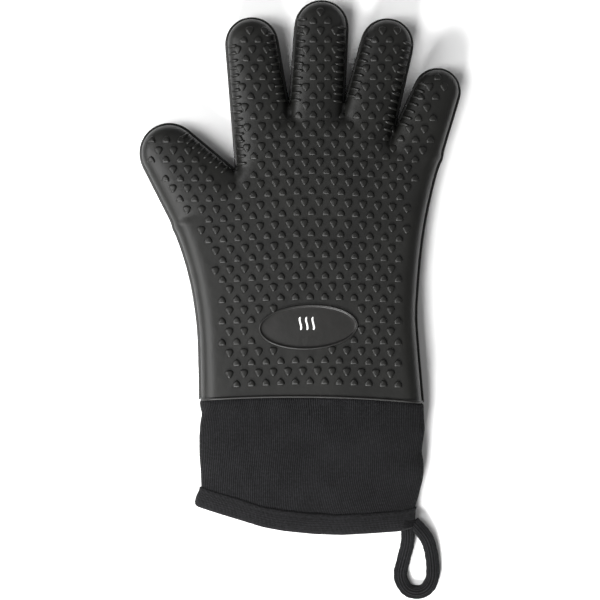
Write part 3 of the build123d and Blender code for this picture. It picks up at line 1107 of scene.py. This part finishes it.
bm = bmesh.new()
cloth_uv = bm.loops.layers.uv.new("cloth")
rings = []
for number in range(HEM_AROUND):
    turn = number / HEM_AROUND
    ring = ring_of(bm, len(BINDING))
    for vertex, (above, out) in zip(ring, BINDING):
        uneven = 0.35 * noise.noise(Vector((turn * 30, above / 9, 2.0)))
        vertex.co = hem_point(turn, above + uneven * (above > 0), out + uneven * 0.5 * (out > 0.2))
    rings.append(ring)
lay_cloth(join_rings(bm, rings + rings[:1]), rings, cloth_uv,
          lambda number, step, vertex: (number / HEM_AROUND * 0.31, step * 1.6 * MM))
binding = from_bmesh("binding_tape", bm)
binding.data.materials.append(bias_tape)
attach(binding, "cuff")
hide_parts("hem_binding")


# ----------------------------------------
# Stitching: black polyester thread.  A lockstitch runs through the binding, near its upper edge on
# both faces, and down both side seams.
STITCH_LONG = 2.7 * MM
STITCH_RADIUS = 0.28 * MM
STITCH_PITCH = 4.0
HEM_STITCHES = 76
HEM_LONG = 310
HEM_ROW = 11.3
HEM_FACES = (0.92, -2.68)
SEAM_TURNS = (0.012, 0.488)


def stitch_form(name, long):
    """One stitch: a slim rounded bar of thread along X."""
    bm = bmesh.new()
    bmesh.ops.create_uvsphere(bm, u_segments=8, v_segments=6, radius=1.0,
                              matrix=Matrix.Diagonal((long / 2, STITCH_RADIUS, STITCH_RADIUS, 1)))
    return mesh_of(name, bm)


def laid(before, after, lift):
    """The frame of a stitch between two points of the cloth, lift above it along the last direction."""
    ahead = (after - before).normalized()
    up = (lift - ahead * lift.dot(ahead)).normalized()
    return frame_at((before + after) / 2, ahead, up.cross(ahead), up)


def sewn(name, places, form, node):
    """A row of stitches as one piece, which stands for a node."""
    piece = scatter(name, form, places)
    piece.data.materials.append(thread)
    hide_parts(node)
    return piece


thread = plain("polyester_thread", "#060607", 0.8, 0.15)
single = stitch_form("single_stitch", STITCH_LONG)
hem_places = []
for number in range(HEM_STITCHES):
    for out in HEM_FACES:
        turn, half = number / HEM_STITCHES, 0.5 * STITCH_LONG / MM / HEM_LONG
        before, after = hem_point(turn - half, HEM_ROW, out), hem_point(turn + half, HEM_ROW, out)
        lift = (before + after) / 2 - hem_point(turn, HEM_ROW, out - 1)
        hem_places.append(laid(before, after, lift if out > 0 else -lift))
hem_thread = sewn("hem_thread", hem_places, single, "hem_stitching")
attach(hem_thread, "cuff")
seam_places = []
for turn in SEAM_TURNS:
    depth = 10.0
    while depth < CUFF_DEPTH - 14:
        before, after = (cuff_point(turn, depth + step, 0.1) for step in (0, STITCH_LONG / MM))
        seam_places.append(laid(before, after, after - cuff_point(turn, depth, -1)))
        depth += STITCH_PITCH
seam_thread = sewn("seam_thread", seam_places, single, "side_seam_threads")
across_fold(seam_thread)


# ----------------------------------------
# Bar tack: the same polyester thread in ten close rows, sewn through the binding over the ends of the
# hanging loop.
TACK_AT = (72.4, -170.6)
TACK_WIDE = 7.5
TACK_ROWS = 10
TACK_PITCH = 0.48
TACK_LIFT = 0.12 * MM
bar = stitch_form("bar_thread", TACK_WIDE * MM)
binding_surface = tree_of(binding)
tack_rows = []
for row in range(TACK_ROWS):
    y = TACK_AT[1] + (row - (TACK_ROWS - 1) / 2) * TACK_PITCH
    slant = 0.4 * (-1) ** row
    ends = [drop_on(binding_surface, (TACK_AT[0] + side * TACK_WIDE / 2 * 0.8) * MM, (y + side * slant) * MM)
            for side in (-1, 1)]
    if all(hit is not None for hit, _ in ends):
        (before, one_up), (after, other_up) = ends
        tack_rows.append(laid(before, after, one_up + other_up) @ Matrix.Translation((0, 0, TACK_LIFT)))
tack_thread = sewn("tack_thread", tack_rows, bar, "loop_bartack")
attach(tack_thread, "cuff")


# ----------------------------------------
# Floor and light: a pale table, a broad low light from the lower left and weaker ones round it.
floor_bm = bmesh.new()
bmesh.ops.create_grid(floor_bm, x_segments=1, y_segments=1, size=3.0)
floor = from_bmesh("floor", floor_bm, outward=False)
floor.data.materials.append(plain("pale_table", "#fbfbfb", 0.9, 0.1))


def area_light(name, place, wide, tall, power):
    """A soft box that faces the middle of the glove."""
    lamp = bpy.data.lights.new(name, "AREA")
    lamp.shape = "RECTANGLE"
    lamp.size, lamp.size_y, lamp.energy = wide, tall, power
    piece = link(name, lamp)
    piece.location = place
    piece.rotation_euler = (centre - Vector(place)).to_track_quat("-Z", "Y").to_euler()


area_light("key_light", (-0.28, -0.91, 0.6), 0.4, 0.32, 24)
area_light("side_light", (-0.95, 0.1, 0.7), 0.6, 0.5, 9)
area_light("glow_light", (-0.5, -0.1, 0.88), 0.3, 0.5, 5.4)
area_light("fill_light", (0.9, 0.9, 1.0), 1.2, 0.9, 2)
world = bpy.data.worlds.new("studio")
world.use_nodes = True
world.node_tree.nodes["Background"].inputs["Color"].default_value = (1, 1, 1, 1)
world.node_tree.nodes["Background"].inputs["Strength"].default_value = 0.19
bpy.context.scene.world = world
bpy.context.scene.view_settings.view_transform = "Standard"
